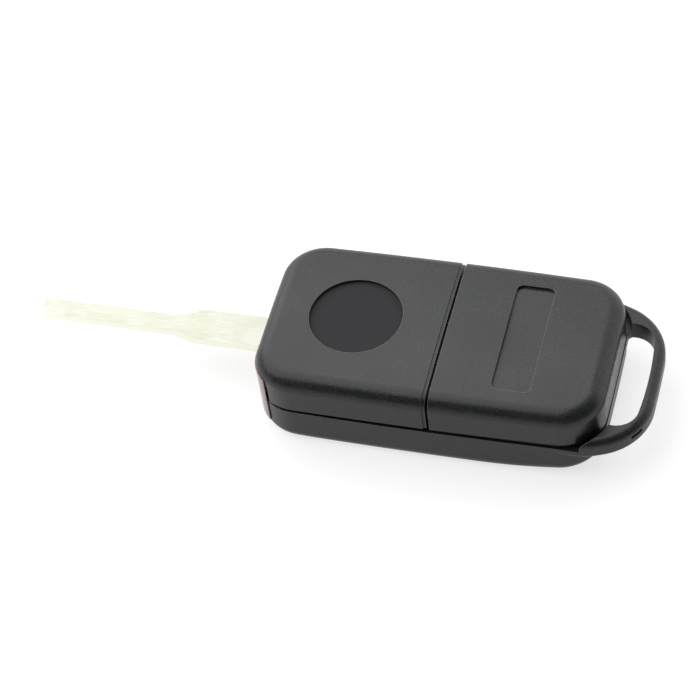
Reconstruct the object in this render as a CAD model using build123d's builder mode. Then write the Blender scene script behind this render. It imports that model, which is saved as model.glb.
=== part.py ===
from build123d import *
import os
from math import cos, radians, sin

# Flip key remote shell, in millimetres. It lies on its button face, so the battery side looks up.
# +X runs towards the key ring, -X along the open blade, +Y is the side that the blade folds into.
# The origin is on the rest face, under the middle of the housing.

# Housing
body_length = 66.5
body_width = 35.7
body_height = 17.7
side_bow = 0.5
end_bow = 0.25
corner_radius = 8.2
wall = 1.4
top_edge_radius = 3.1
inner_edge_radius = 1.0
bottom_edge_radius = 2.4
crown = 0.45
parting_height = 8.5
parting_gap = 0.3
nose_rise = 1.0
nose_rise_length = 11.9
tail_rise = 2.7
tail_rise_length = 23.0
fit_gap = 0.15
free_gap = 0.3

# Seam between the upper cover and the battery cover
seam_x = 1.2
seam_gap = 0.36
seam_step_length = 0.83
seam_step_depth = 0.3

# Bare recesses in the two upper pieces
round_recess_inset = 17.15
round_recess_radius = 8.9
round_recess_depth = 0.7
panel_recess_inset = 17.25
panel_recess_length = 7.3
panel_recess_margin = 5.25
panel_recess_corner = 1.4
panel_recess_depth = 0.35

# Key-ring loop
ring_reach = 8.1
ring_thickness = 4.2
ring_rise = 0.2
ring_groove = 1.2
ring_root_setback = 13.0
ring_root_inset = 0.45
ring_shoulder_setback = 10.85
ring_shoulder_inset = 0.1
ring_end_inset = 4.1
ring_end_bow = 0.3
ring_shoulder_radius = 12.0
ring_end_radius = 12.0
ring_edge_radius = 0.9
ring_top_radius = 1.5
ring_window_gap = 0.1
ring_window_depth = 6.1
ring_window_inset = 5.65
ring_window_bow = 1.0
ring_window_corner = 4.2
ring_window_root = 1.0
ring_mark_angle = 33.0
ring_mark_length = 3.0
ring_mark_height = 0.8
ring_mark_rise = 0.3
ring_mark_end_step = 2.25
ring_mark_side_step = 2.05

# Key blade, opened out along -X on the housing's centre line
blade_thickness = 2.4
blade_housing_gap = 19.35
blade_near_half = 4.36
blade_far_half = 3.79
blade_narrow_near = 3.0
blade_narrow_far = 1.8
blade_neck_start = 14.95
blade_neck_length = 5.0
blade_neck_radius = 4.0
blade_track_depth = 0.9
blade_neck_step = 0.35
blade_neck_facet = 1.2
blade_ridge_base = -0.06
blade_ridge_narrow = -0.9
blade_web = 0.6
blade_tip_bevel = 2.0
blade_tip_drop = 1.0
blade_tip_corner = 1.5
tang_side_step = 1.575
tang_bore_wall = 0.685
tang_length = 7.6
blade_pin_radius = 0.8
blade_pin_inset = 3.9

# Flip hub, its collars and the slot that the blade folds into
pivot_inset = 6.0
pivot_side_inset = 11.85
hub_head_radius = 5.8
hub_head_height = 4.1
hub_journal_radius = 4.4
hub_roof_gap = 0.6
hub_bore_radius = 3.1
hub_arm_side = 0.5
hub_arm_front_gap = 0.3
hub_arm_length = 8.0
hub_arm_corner = 1.0
hub_shoulder_thickness = 2.8
hub_shoulder_radius = 1.65
journal_gap = 0.05
collar_wall = 0.95
slot_height = 4.6
slot_arm_gap = 0.4
slot_end_inset = 6.25
slot_corner = 1.5
partition_fold_gap = 0.8
partition_thickness = 0.8
partition_start = 8.9
partition_end_inset = 5.25
blade_rib_steps = (-13.2, 8.8, 20.8)
blade_rib_thickness = 1.0
washer_thickness = 0.4

# Release button, concentric with the hub, and the flip spring
release_cap_radius = 3.2
release_gap = 0.1
release_face_height = 0.45
release_flange_radius = 4.25
release_flange_thickness = 0.8
release_stem_radius = 1.2
release_stem_height = 3.6
release_key_width = 1.6
release_key_height = 2.7
release_travel = 1.8
release_cap_fillet = 0.4
spring_wire_radius = 0.32
spring_mean_radius = 2.3
spring_turns = 6
spring_post_radius = 1.3
spring_post_reach = 1.1

# Buttons on the front face
button_pitch = 10.4
button_length = 7.6
button_width = 10.0
button_corner = 2.6
button_recess = 0.25
button_flange = 0.6
button_flange_thickness = 0.7
button_travel = 0.5
button_edge_radius = 0.4
button_gap = 0.2
membrane_space = 1.05
membrane_thickness = 0.8
membrane_nib_radius = 1.3
keypad_rib = 0.8
keypad_partition_step = 6.8
led_step = 7.4
led_radius = 1.4
led_flange = 0.4

# Nose lens, round the near corner of the nose
lens_far_step = 1.8
lens_wrap_angle = 52.0
lens_bottom = 2.8
lens_top_drop = 3.1
lens_lip = 0.8
lens_lip_thickness = 0.8
lens_proud = 0.25
lens_notch_width = 0.5
lens_notch_drop = 1.7

# Board carrier, its cell well and contacts
carrier_start = 10.4
carrier_thickness = 1.0
cell_tail_inset = 15.2
cell_side_inset = 13.55
cell_well_radius = 10.15
cell_well_wall = 0.8
cell_well_height = 5.6
contact_thickness = 0.3
contact_width = 4.0
contact_foot = 2.0
contact_hook = 0.8
contact_rise = 1.2
contact_tip = 1.0
cell_well_gap = 13.0
post_radius = 1.3
post_steps = (3.5, 26.5, 43.5)
post_side_inset = 4.3
post_partition_step = 3.3
pad_radius = 8.0
pad_thickness = 1.8
pad_ring_wall = 0.8

# Screws that hold the upper cover, hidden under the battery cover
screw_step = 2.9
screw_side_inset = 4.85
screw_partition_step = 1.2
screw_boss_radius = 1.7
screw_boss_rise = 1.05
screw_ear_thickness = 1.2
screw_shank_radius = 0.8
screw_head_radius = 1.6
screw_head_height = 1.0
screw_length = 6.5
ear_start = 4.3
ear_width = 3.6

# Locating lip of the two upper pieces
lip_thickness = 0.8
lip_drop = 1.2
lip_root = 1.1
lip_start = 6.9

# Margin by which edges and corners are picked round their places
pick_margin = 0.01

nose_x = -body_length / 2
tail_x = body_length / 2
near_y = -body_width / 2
far_y = body_width / 2
rest_start = nose_x + nose_rise_length
rest_end = tail_x - tail_rise_length
lower_top = parting_height - parting_gap / 2
upper_base = parting_height + parting_gap / 2
ceiling = body_height - crown - wall
pivot_x = nose_x + pivot_inset
pivot_y = far_y - pivot_side_inset
cover_start_x = seam_x + seam_gap
partition_y = pivot_y + partition_fold_gap
partition_start_x = pivot_x + partition_start
partition_end_x = tail_x - partition_end_inset
channel_y = partition_y + partition_thickness
blade_rib_places = [seam_x + step for step in blade_rib_steps]
round_recess_x = nose_x + round_recess_inset
panel_recess_x = tail_x - panel_recess_inset
panel_recess_width = body_width - 2 * panel_recess_margin

ring_bottom = parting_height + ring_rise - ring_thickness / 2
ring_root_x = tail_x - ring_root_setback
ring_root_y = far_y - ring_root_inset
ring_end_x = tail_x + ring_reach - ring_end_bow
ring_end_y = far_y - ring_end_inset
ring_shoulder_x = ring_end_x - ring_shoulder_setback
ring_shoulder_y = far_y - ring_shoulder_inset
ring_mark_floor = (ring_end_x - ring_mark_end_step, ring_mark_side_step - ring_end_y, upper_base + ring_mark_rise)
ring_mark_outward = (cos(radians(ring_mark_angle)), -sin(radians(ring_mark_angle)), 0)
ring_mark_along = (sin(radians(ring_mark_angle)), cos(radians(ring_mark_angle)), 0)
window_start_x = tail_x + ring_window_gap
window_end_x = tail_x + ring_window_depth - ring_window_bow
window_y = far_y - ring_window_inset

blade_bottom = parting_height - blade_thickness / 2
blade_top = parting_height + blade_thickness / 2
blade_front_x = nose_x + hub_arm_front_gap
blade_tip_x = nose_x - body_length + blade_housing_gap
neck_start_x = nose_x - blade_neck_start
neck_end_x = neck_start_x - blade_neck_length
neck_step_x = neck_start_x - blade_neck_facet
neck_span = (neck_end_x - pick_margin, neck_start_x + pick_margin)
tang_near_y = tang_side_step - blade_near_half
tang_far_y = pivot_y - hub_bore_radius - tang_bore_wall
tang_mid_y = (tang_near_y + tang_far_y) / 2
blade_pin_x = blade_front_x + blade_pin_inset

slot_bottom = parting_height - slot_height / 2
slot_top = parting_height + slot_height / 2
slot_near_edge = -blade_near_half - hub_arm_side - slot_arm_gap
slot_end_x = tail_x - slot_end_inset
flange_bottom = wall + fit_gap
release_flange_top = flange_bottom + release_flange_thickness
hub_bottom = release_flange_top + release_travel + free_gap
hub_top = ceiling - hub_roof_gap
hub_shoulder_height = hub_top - hub_shoulder_thickness
head_bottom = parting_height - hub_head_height / 2
head_top = parting_height + hub_head_height / 2
collar_radius = hub_journal_radius + journal_gap
washer_top = hub_top + washer_thickness
spring_post_bottom = hub_shoulder_height - spring_post_reach
key_notch_height = release_flange_top + release_key_height + release_travel + free_gap - hub_bottom
spring_height = hub_shoulder_height - release_flange_top - 2 * (spring_wire_radius + release_gap)

button_places = (-1.5 * button_pitch, -0.5 * button_pitch, 0.5 * button_pitch)
button_flange_top = flange_bottom + button_flange_thickness
led_x = button_places[2] + led_step
keypad_length = 2 * button_pitch + button_length + 2 * (button_flange + fit_gap)
keypad_width = button_width + 2 * (button_flange + fit_gap)
keypad_mid_x = button_places[1]
keypad_mid_y = partition_y - keypad_partition_step
membrane_bottom = button_flange_top + membrane_space
membrane_nib_height = membrane_space - button_travel - journal_gap
carrier_bottom = membrane_bottom + membrane_thickness
carrier_top = carrier_bottom + carrier_thickness

corner_centre_y = near_y + side_bow + corner_radius
lens_far_edge = corner_centre_y + lens_far_step
lens_top = body_height - lens_top_drop
lens_notch_top = lens_top - lens_notch_drop
lens_end_direction = (-cos(radians(lens_wrap_angle)), -sin(radians(lens_wrap_angle)), 0)

carrier_start_x = pivot_x + carrier_start
cell_x = tail_x - cell_tail_inset
cell_y = near_y + cell_side_inset
cell_pad_bottom = ceiling - pad_thickness
contact_slot = contact_width + 2 * free_gap
post_near_y = near_y + post_side_inset
post_far_y = partition_y - post_partition_step
post_places = (
    (carrier_start_x + post_steps[0], post_near_y),
    (carrier_start_x + post_steps[1], post_near_y),
    (carrier_start_x + post_steps[2], post_near_y + post_radius),
    (carrier_start_x + post_steps[2], post_far_y),
)
screw_x = seam_x + screw_step
screw_near_y = near_y + screw_side_inset
screw_far_y = partition_y + screw_partition_step
screw_places = ((screw_x, screw_near_y), (screw_x, screw_far_y))
screw_boss_top = upper_base + screw_boss_rise
screw_head_bottom = screw_boss_top + screw_ear_thickness
ear_start_x = seam_x - ear_start
ear_end_x = seam_x - free_gap
ear_length = screw_x + screw_boss_radius - ear_start_x
lip_start_x = pivot_x + lip_start

os.makedirs("parts", exist_ok=True)


def housing_plan(inset):
    half_length = body_length / 2 - inset
    half_width = body_width / 2 - inset
    corner_x = half_length - end_bow
    corner_y = half_width - side_bow
    with BuildSketch(mode=Mode.PRIVATE) as plan:
        with BuildLine():
            ThreePointArc((-corner_x, -corner_y), (0, -half_width), (corner_x, -corner_y))
            ThreePointArc((corner_x, -corner_y), (half_length, 0), (corner_x, corner_y))
            ThreePointArc((corner_x, corner_y), (0, half_width), (-corner_x, corner_y))
            ThreePointArc((-corner_x, corner_y), (-half_length, 0), (-corner_x, -corner_y))
        make_face()
        fillet(plan.vertices(), corner_radius - inset)
    return plan.sketch


def side_profile(lift):
    with BuildSketch(mode=Mode.PRIVATE) as profile:
        with BuildLine():
            Line((rest_start, lift), (rest_end, lift))
            TangentArc((rest_end, lift), (tail_x, tail_rise + lift), tangent=(1, 0))
            Line((tail_x, tail_rise + lift), (tail_x, body_height + lift))
            Line((tail_x, body_height + lift), (nose_x, body_height + lift))
            Line((nose_x, body_height + lift), (nose_x, nose_rise + lift))
            TangentArc((rest_start, lift), (nose_x, nose_rise + lift), tangent=(-1, 0))
        make_face()
    return profile.sketch


def button_plan(growth):
    with BuildSketch(mode=Mode.PRIVATE) as plan:
        RectangleRounded(button_length + 2 * growth, button_width + 2 * growth, button_corner + growth)
    return plan.sketch


# Outer and inner forms of the lower half
with BuildPart() as lower_outer:
    with BuildSketch():
        add(housing_plan(0))
    extrude(amount=lower_top)
    with BuildSketch(Plane.XZ):
        add(side_profile(0))
    extrude(amount=body_width, both=True, mode=Mode.INTERSECT)
    bottom_edges = lower_outer.edges().filter_by_position(Axis.Z, -pick_margin, tail_rise + pick_margin)
    fillet(bottom_edges.filter_by(lambda edge: edge.bounding_box().size.X > pick_margin), bottom_edge_radius)

with BuildPart() as lower_inner:
    with BuildSketch():
        add(housing_plan(wall))
    extrude(amount=body_height)
    with BuildSketch(Plane.XZ):
        add(side_profile(wall))
    extrude(amount=body_width, both=True, mode=Mode.INTERSECT)


def upper_form(inset, edge_radius):
    crown_radius = ((body_width / 2) ** 2 + crown ** 2) / (2 * crown)
    with BuildPart(mode=Mode.PRIVATE) as form:
        with BuildSketch(Plane.XY.offset(upper_base)):
            add(housing_plan(inset))
        extrude(amount=body_height)
        with BuildSketch(Plane.YZ):
            with Locations((0, body_height - inset - crown_radius)):
                Circle(crown_radius)
        extrude(amount=body_length, both=True, mode=Mode.INTERSECT)
        fillet(form.faces().sort_by(Axis.Z)[-1].edges(), edge_radius)
    return form.part


upper_outer = upper_form(0, top_edge_radius)
upper_step = upper_form(seam_step_depth, top_edge_radius - seam_step_depth)

with BuildPart() as upper_inner:
    with BuildSketch(Plane.XY.offset(upper_base - fit_gap)):
        add(housing_plan(wall))
    extrude(amount=ceiling - upper_base + fit_gap)
    fillet(upper_inner.faces().sort_by(Axis.Z)[-1].edges(), inner_edge_radius)

# Room for the blade: the slot through the nose and the far side, level with the blade
with BuildPart() as blade_slot:
    with BuildSketch(Plane.XY.offset(slot_bottom)):
        with BuildLine():
            Polyline(
                (nose_x - body_width, slot_near_edge),
                (pivot_x, slot_near_edge),
                (pivot_x, channel_y),
                (slot_end_x, channel_y),
                (slot_end_x, body_width),
                (nose_x - body_width, body_width),
                close=True,
            )
        make_face()
    extrude(amount=slot_height)
    fillet(blade_slot.edges().filter_by(Axis.Y).group_by(Axis.X)[-1], slot_corner)


# Region of the nose lens, from its upper edge on the nose round the near corner
def lens_region(growth):
    centre_x = nose_x + corner_radius
    reach = 2 * corner_radius
    end_angle = radians(lens_wrap_angle)
    end_x = centre_x - reach * cos(end_angle) + growth * sin(end_angle)
    end_y = corner_centre_y - reach * sin(end_angle) - growth * cos(end_angle)
    with BuildPart(mode=Mode.PRIVATE) as region:
        with BuildSketch(Plane.XY.offset(lens_bottom - growth)):
            with BuildLine():
                Polyline(
                    (centre_x, lens_far_edge + growth),
                    (nose_x - reach, lens_far_edge + growth),
                    (nose_x - reach, end_y),
                    (end_x, end_y),
                    (centre_x, corner_centre_y),
                    close=True,
                )
            make_face()
        extrude(amount=lens_top - lens_bottom + 2 * growth)
    return region.part


# Key-ring loop, before it is joined to the lower case
with BuildPart() as ring_loop:
    with BuildSketch(Plane.XY.offset(ring_bottom)) as ring_plan:
        with BuildLine():
            Polyline(
                (ring_end_x, -ring_end_y),
                (ring_shoulder_x, -ring_shoulder_y),
                (ring_root_x, -ring_root_y),
                (ring_root_x, ring_root_y),
                (ring_shoulder_x, ring_shoulder_y),
                (ring_end_x, ring_end_y),
            )
            ThreePointArc((ring_end_x, -ring_end_y), (tail_x + ring_reach, 0), (ring_end_x, ring_end_y))
        make_face()
        fillet(ring_plan.vertices().group_by(Axis.X)[1], ring_shoulder_radius)
        fillet(ring_plan.vertices().group_by(Axis.X)[-1], ring_end_radius)
    extrude(amount=ring_thickness)
    for level, radius in ((ring_bottom, ring_edge_radius), (ring_bottom + ring_thickness, ring_top_radius)):
        level_edges = ring_loop.edges().filter_by_position(Axis.Z, level - pick_margin, level + pick_margin)
        fillet(level_edges.filter_by_position(Axis.X, ring_root_x + pick_margin, body_length), radius)
    with BuildSketch(Plane.XY.offset(ring_bottom)) as window_plan:
        with BuildLine():
            Polyline(
                (window_end_x, window_y),
                (window_start_x, window_y),
                (window_start_x, -window_y),
                (window_end_x, -window_y),
            )
            ThreePointArc((window_end_x, window_y), (tail_x + ring_window_depth, 0), (window_end_x, -window_y))
        make_face()
        fillet(window_plan.vertices().group_by(Axis.X)[0], ring_window_root)
        fillet(window_plan.vertices().group_by(Axis.X)[-1], ring_window_corner)
    extrude(amount=ring_thickness, mode=Mode.SUBTRACT)
    with BuildSketch(Plane.XY.offset(lower_top)):
        add(housing_plan(-ring_groove))
    extrude(amount=ring_thickness, mode=Mode.SUBTRACT)
    with BuildSketch():
        add(housing_plan(wall))
    extrude(amount=body_height, mode=Mode.SUBTRACT)
    with BuildSketch(Plane(ring_mark_floor, x_dir=ring_mark_along, z_dir=ring_mark_outward)):
        SlotOverall(ring_mark_length, ring_mark_height)
    extrude(amount=ring_reach, mode=Mode.SUBTRACT)

# Inner features of the lower case, trimmed to its outer form
with BuildPart() as lower_inside:
    with BuildSketch():
        with Locations((pivot_x, pivot_y)):
            Circle(collar_radius + collar_wall)
    extrude(amount=head_bottom - free_gap)
    with BuildSketch():
        with Locations((partition_start_x, partition_y)):
            Rectangle(partition_end_x - partition_start_x, partition_thickness, align=(Align.MIN, Align.MIN))
    extrude(amount=lower_top)
    with BuildSketch():
        with Locations([(x, channel_y) for x in blade_rib_places]):
            Rectangle(blade_rib_thickness, far_y - channel_y, align=(Align.CENTER, Align.MIN))
    extrude(amount=slot_bottom - fit_gap)
    with BuildSketch():
        with Locations((keypad_mid_x, keypad_mid_y)):
            Rectangle(keypad_length + 2 * keypad_rib, keypad_width + 2 * keypad_rib)
            Rectangle(keypad_length, keypad_width, mode=Mode.SUBTRACT)
    extrude(amount=membrane_bottom)
    with BuildSketch():
        with Locations(post_places):
            Circle(post_radius)
    extrude(amount=carrier_bottom)
    add(lower_outer.part, mode=Mode.INTERSECT)

# Lower case: the front half of the housing, with the key-ring loop
with BuildPart() as lower_case:
    add(lower_outer.part)
    add(lower_inner.part, mode=Mode.SUBTRACT)
    add(lower_inside.part)
    add(ring_loop.part)
    with BuildSketch():
        with Locations(screw_places):
            Circle(screw_boss_radius)
    extrude(amount=screw_boss_top)
    with BuildSketch(Plane.XY.offset(wall)):
        with Locations((pivot_x, pivot_y)):
            Circle(collar_radius)
    extrude(amount=lower_top, mode=Mode.SUBTRACT)
    with BuildSketch():
        with Locations((pivot_x, pivot_y)):
            Circle(release_cap_radius + release_gap)
        with Locations([(x, keypad_mid_y) for x in button_places]):
            add(button_plan(button_gap))
        with Locations((led_x, keypad_mid_y)):
            Circle(led_radius)
    extrude(amount=membrane_bottom, mode=Mode.SUBTRACT)
    with BuildSketch(Plane.XY.offset(wall)):
        with Locations((led_x, keypad_mid_y)):
            Circle(led_radius + led_flange + fit_gap)
    extrude(amount=membrane_bottom - wall, mode=Mode.SUBTRACT)
    with BuildSketch(Plane.XY.offset(screw_boss_top)):
        with Locations(screw_places):
            Circle(screw_shank_radius)
    extrude(amount=-screw_length, mode=Mode.SUBTRACT)
    add(blade_slot.part, mode=Mode.SUBTRACT)
    add(lens_region(0), mode=Mode.SUBTRACT)


# Locating lip that hangs from an upper piece inside the rim of the lower case
def locating_lip(start_x, end_x, end_y):
    with BuildPart(mode=Mode.PRIVATE) as lip:
        with BuildSketch(Plane.XY.offset(lower_top - lip_drop)):
            add(housing_plan(wall + fit_gap))
            add(housing_plan(wall + fit_gap + lip_thickness), mode=Mode.SUBTRACT)
        extrude(amount=lip_drop + parting_gap + lip_root)
        with BuildSketch(Plane.XY.offset(upper_base)):
            add(housing_plan(wall / 2))
            add(housing_plan(wall + fit_gap + lip_thickness), mode=Mode.SUBTRACT)
        extrude(amount=lip_root)
        with BuildSketch():
            with Locations((start_x, -body_width)):
                Rectangle(end_x - start_x, body_width + end_y, align=(Align.MIN, Align.MIN))
        extrude(amount=body_height, mode=Mode.INTERSECT)
    return lip.part


# Inner features of the upper cover, trimmed to its outer form
with BuildPart() as upper_inside:
    with BuildSketch(Plane.XY.offset(head_top + free_gap)):
        with Locations((pivot_x, pivot_y)):
            Circle(collar_radius + collar_wall)
    extrude(amount=body_height)
    with BuildSketch(Plane.XY.offset(ceiling - round_recess_depth)):
        with Locations((round_recess_x, 0)):
            Circle(round_recess_radius + wall)
    extrude(amount=body_height)
    with BuildSketch(Plane.XY.offset(slot_top + fit_gap)):
        with Locations((partition_start_x, partition_y)):
            Rectangle(ear_end_x - partition_start_x, partition_thickness, align=(Align.MIN, Align.MIN))
        with Locations((blade_rib_places[0], channel_y)):
            Rectangle(blade_rib_thickness, far_y - channel_y, align=(Align.CENTER, Align.MIN))
    extrude(amount=body_height)
    with BuildSketch(Plane.XY.offset(screw_boss_top)):
        with Locations((ear_start_x, partition_y)):
            Rectangle(ear_end_x - ear_start_x, partition_thickness, align=(Align.MIN, Align.MIN))
    extrude(amount=body_height)
    add(upper_outer, mode=Mode.INTERSECT)

# Upper cover: the nose half of the back, with the bare round recess
with BuildPart() as upper_front:
    add(upper_outer)
    split(bisect_by=Plane.YZ.offset(seam_x - seam_step_length), keep=Keep.BOTTOM)

with BuildPart() as upper_cover:
    add(upper_step)
    split(bisect_by=Plane.YZ.offset(seam_x), keep=Keep.BOTTOM)
    add(upper_front.part)
    add(upper_inner.part, mode=Mode.SUBTRACT)
    add(upper_inside.part)
    add(locating_lip(lip_start_x, ear_end_x, 0))
    with BuildSketch(Plane.XY.offset(screw_boss_top)):
        with Locations((ear_start_x, near_y + wall + fit_gap + lip_thickness + free_gap)):
            Rectangle(ear_length, ear_width, align=(Align.MIN, Align.MIN))
        with Locations((ear_start_x, screw_far_y)):
            Rectangle(ear_length, 2 * screw_boss_radius, align=(Align.MIN, Align.CENTER))
        with Locations((ear_start_x, screw_near_y)):
            Rectangle(ear_end_x - ear_start_x, screw_side_inset - wall / 2, align=(Align.MIN, Align.MAX))
        with Locations(screw_places):
            Circle(screw_shank_radius, mode=Mode.SUBTRACT)
    extrude(amount=screw_ear_thickness)
    with BuildSketch(Plane.XY.offset(head_top)):
        with Locations((pivot_x, pivot_y)):
            Circle(collar_radius)
    extrude(amount=washer_top + release_gap - head_top, mode=Mode.SUBTRACT)
    with BuildSketch(Plane.XY.offset(spring_post_bottom)):
        with Locations((pivot_x, pivot_y)):
            Circle(spring_post_radius)
    extrude(amount=ceiling - spring_post_bottom)
    with BuildSketch(Plane.XY.offset(body_height - round_recess_depth)):
        with Locations((round_recess_x, 0)):
            Circle(round_recess_radius)
    extrude(amount=body_height, mode=Mode.SUBTRACT)
    add(blade_slot.part, mode=Mode.SUBTRACT)
    add(lens_region(0), mode=Mode.SUBTRACT)
    with BuildSketch(Plane((nose_x + corner_radius, corner_centre_y, upper_base), x_dir=lens_end_direction)):
        Rectangle(2 * corner_radius, lens_notch_width, align=(Align.MIN, Align.MIN))
    extrude(amount=lens_notch_top - upper_base, mode=Mode.SUBTRACT)

# Battery cover: the tail half of the back, with the shallow panel recess
with BuildPart() as battery_cover:
    add(upper_outer)
    add(upper_inner.part, mode=Mode.SUBTRACT)
    with BuildSketch(Plane.XY.offset(slot_top + fit_gap)):
        with Locations([(x, channel_y) for x in blade_rib_places[1:]]):
            Rectangle(blade_rib_thickness, far_y - channel_y - wall / 2, align=(Align.CENTER, Align.MIN))
    extrude(amount=ceiling - slot_top)
    with BuildSketch(Plane.XY.offset(cell_pad_bottom)):
        with Locations((cell_x, cell_y)):
            Circle(pad_radius + fit_gap + pad_ring_wall)
            Circle(pad_radius + fit_gap, mode=Mode.SUBTRACT)
    extrude(amount=ceiling - cell_pad_bottom)
    split(bisect_by=Plane.YZ.offset(cover_start_x), keep=Keep.TOP)
    add(locating_lip(cover_start_x + free_gap, tail_x, partition_y - free_gap))
    with BuildSketch(Plane.XY.offset(body_height - crown - panel_recess_depth)):
        with Locations((panel_recess_x, 0)):
            RectangleRounded(panel_recess_length, panel_recess_width, panel_recess_corner)
    extrude(amount=body_height, mode=Mode.SUBTRACT)
    add(blade_slot.part, mode=Mode.SUBTRACT)

# Nose lens: a plug that stands a little proud of the outer wall, and an inner flange behind it
with BuildPart() as nose_lens:
    with BuildSketch(Plane.XY.offset(lens_bottom)):
        add(housing_plan(-lens_proud))
        add(housing_plan(wall), mode=Mode.SUBTRACT)
    extrude(amount=lens_top - lens_bottom)
    add(lens_region(-release_gap), mode=Mode.INTERSECT)

with BuildPart() as lens_flange:
    with BuildSketch(Plane.XY.offset(lens_bottom - lens_lip)):
        add(housing_plan(wall))
        add(housing_plan(wall + lens_lip_thickness), mode=Mode.SUBTRACT)
    extrude(amount=ceiling - inner_edge_radius - lens_bottom + lens_lip)
    add(lens_region(lens_lip), mode=Mode.INTERSECT)
    add(lower_inner.part, mode=Mode.INTERSECT)

with nose_lens:
    add(lens_flange.part)

# Key blade: two offset halves along a ridge, an uncut edge and a bevelled tip
with BuildPart() as key_blade:
    with BuildSketch(Plane.XY.offset(blade_bottom)):
        with Locations((blade_front_x, tang_mid_y)):
            Rectangle(tang_length, tang_far_y - tang_near_y, align=(Align.MIN, Align.CENTER))
    extrude(amount=blade_thickness)
    with BuildSketch(Plane.XY.offset(blade_bottom + blade_track_depth)) as near_half:
        with BuildLine():
            Polyline(
                (blade_front_x, -blade_near_half),
                (neck_start_x, -blade_near_half),
                (neck_end_x, -blade_narrow_near),
                (blade_tip_x, -blade_narrow_near),
                (blade_tip_x, blade_ridge_narrow),
                (neck_end_x, blade_ridge_narrow),
                (neck_start_x, blade_ridge_base),
                (blade_front_x, blade_ridge_base),
                close=True,
            )
        make_face()
        neck_corners = near_half.vertices().filter_by_position(Axis.X, *neck_span)
        near_edge = (-blade_near_half - pick_margin, -blade_narrow_near + pick_margin)
        fillet(neck_corners.filter_by_position(Axis.Y, *near_edge), blade_neck_radius)
        chamfer(near_half.vertices().group_by(Axis.X)[0].sort_by(Axis.Y)[0], blade_tip_corner)
    extrude(amount=blade_thickness - blade_track_depth)
    for start_x, end_x, top in (
        (blade_front_x, neck_step_x, blade_top - blade_track_depth),
        (neck_step_x, blade_tip_x, blade_top - blade_track_depth - blade_neck_step),
    ):
        with BuildSketch(Plane.XY.offset(blade_bottom)) as far_half:
            with BuildLine():
                Polyline(
                    (blade_front_x, blade_far_half),
                    (neck_start_x, blade_far_half),
                    (neck_end_x, blade_narrow_far),
                    (blade_tip_x, blade_narrow_far),
                    (blade_tip_x, blade_ridge_narrow - blade_web),
                    (neck_end_x, blade_ridge_narrow - blade_web),
                    (neck_start_x, blade_ridge_base - blade_web),
                    (blade_front_x, blade_ridge_base - blade_web),
                    close=True,
                )
            make_face()
            neck_corners = far_half.vertices().filter_by_position(Axis.X, *neck_span)
            far_edge = (blade_narrow_far - pick_margin, blade_far_half + pick_margin)
            fillet(neck_corners.filter_by_position(Axis.Y, *far_edge), blade_neck_radius)
            with Locations((start_x, 0)):
                Rectangle(start_x - end_x, body_width, align=(Align.MAX, Align.CENTER), mode=Mode.INTERSECT)
        extrude(amount=top - blade_bottom)
    with BuildSketch(Plane.XZ):
        with BuildLine():
            Polyline(
                (blade_tip_x, blade_top - blade_tip_drop),
                (blade_tip_x + blade_tip_bevel, blade_top),
                (blade_tip_x, blade_top),
                close=True,
            )
        make_face()
    extrude(amount=body_width, both=True, mode=Mode.SUBTRACT)
    with BuildSketch(Plane.XY.offset(blade_bottom)):
        with Locations((blade_pin_x, tang_mid_y)):
            Circle(blade_pin_radius)
    extrude(amount=blade_thickness, mode=Mode.SUBTRACT)

# Flip hub: two journals, the head between them and the arm that grips the blade's tang
with BuildPart() as blade_hub:
    with BuildSketch(Plane.XY.offset(hub_bottom)):
        with Locations((pivot_x, pivot_y)):
            Circle(hub_journal_radius)
    extrude(amount=hub_top - hub_bottom)
    with BuildSketch(Plane.XY.offset(head_bottom)) as head_plan:
        with Locations((pivot_x, pivot_y)):
            Circle(hub_head_radius)
        with Locations((nose_x + hub_arm_front_gap, -blade_near_half - hub_arm_side)):
            arm_width = pivot_y + blade_near_half + hub_arm_side
            Rectangle(hub_arm_length, arm_width, align=(Align.MIN, Align.MIN))
        fillet(head_plan.vertices().group_by(Axis.Y)[0], hub_arm_corner)
    extrude(amount=hub_head_height)
    with BuildSketch(Plane.XY.offset(hub_bottom)):
        with Locations((pivot_x, pivot_y)):
            Circle(hub_bore_radius)
    extrude(amount=hub_shoulder_height - hub_bottom, mode=Mode.SUBTRACT)
    with BuildSketch(Plane.XY.offset(hub_bottom)):
        with Locations((pivot_x, pivot_y)):
            Circle(hub_shoulder_radius)
    extrude(amount=hub_top - hub_bottom, mode=Mode.SUBTRACT)
    with BuildSketch(Plane.XY.offset(hub_bottom)):
        with Locations((pivot_x, pivot_y)):
            Rectangle(2 * hub_journal_radius, release_key_width + 2 * fit_gap)
    extrude(amount=key_notch_height, mode=Mode.SUBTRACT)
    with BuildSketch(Plane.XY.offset(blade_bottom)):
        with Locations((blade_front_x, tang_mid_y)):
            Rectangle(tang_length, tang_far_y - tang_near_y, align=(Align.MIN, Align.CENTER))
    extrude(amount=blade_thickness, mode=Mode.SUBTRACT)
    with BuildSketch(Plane.XY.offset(head_bottom)):
        with Locations((blade_pin_x, tang_mid_y)):
            Circle(blade_pin_radius)
    extrude(amount=hub_head_height, mode=Mode.SUBTRACT)

with BuildPart() as blade_pin:
    with BuildSketch(Plane.XY.offset(head_bottom)):
        with Locations((blade_pin_x, tang_mid_y)):
            Circle(blade_pin_radius)
            Circle(blade_pin_radius / 2, mode=Mode.SUBTRACT)
    extrude(amount=hub_head_height)

with BuildPart() as thrust_washer:
    with BuildSketch(Plane.XY.offset(hub_top)):
        with Locations((pivot_x, pivot_y)):
            Circle(hub_journal_radius - fit_gap)
            Circle(hub_shoulder_radius + free_gap, mode=Mode.SUBTRACT)
    extrude(amount=washer_thickness)

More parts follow.
